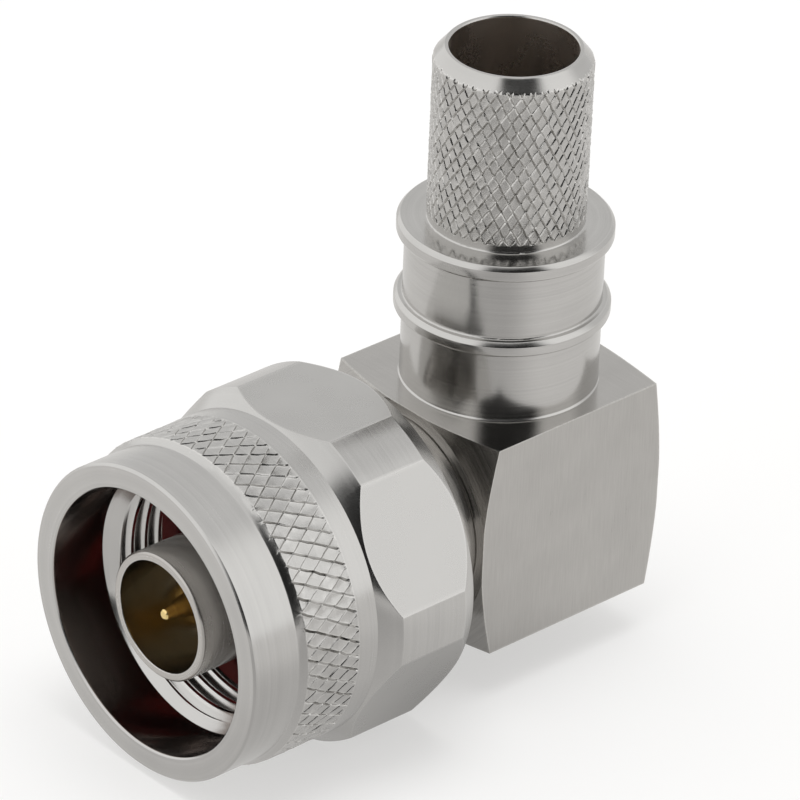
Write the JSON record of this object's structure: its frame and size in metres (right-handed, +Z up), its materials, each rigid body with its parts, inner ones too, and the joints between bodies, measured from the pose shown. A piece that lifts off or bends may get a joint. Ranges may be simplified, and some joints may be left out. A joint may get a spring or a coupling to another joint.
{
  "type": "right-angle type N plug",
  "caption": "Right-angle coaxial plug with a free-turning knurled and hexagonal coupling nut on a square elbow block and an upright knurled crimp stem.",
  "frame": {"origin": "on the mating axis, in the plane of the outer contact's front rim, where the jack bottoms", "axes": "-Y the way the plug faces and the jack leaves; +Z up along the cable stem; +X across"},
  "size_m": [0.0222, 0.0348, 0.0393],
  "materials": {
    "nut_metal": "nickel-plated brass, satin turned with a bright diamond knurl",
    "body_metal": "nickel-plated brass, bright turned",
    "block_metal": "nickel-plated brass, brushed faces",
    "stem_metal": "nickel-plated brass, bright turned with a diamond knurl",
    "gold_plate": "gold-plated brass, polished",
    "spring_bronze": "spring bronze, plain",
    "gasket_rubber": "red silicone rubber, satin",
    "white_ptfe": "white fluoropolymer, waxy"
  },
  "bodies": {
    "plug_body": {"front_body": "body_metal", "snap_ring": "spring_bronze", "gasket": "gasket_rubber", "front_insulator": "white_ptfe", "centre_pin": "gold_plate", "angle_contact": "gold_plate", "rear_insulator": "white_ptfe", "elbow_body": "block_metal", "access_cap": "block_metal", "crimp_stem": "stem_metal"},
    "nut": {"coupling_nut": "nut_metal"}
  },
  "joints": [
    {"name": "nut_spin", "type": "hinge", "parent": "plug_body", "child": "nut", "pos_m": [0, 0.008, 0], "axis": [0, -1, 0], "continuous": true}
  ]
}
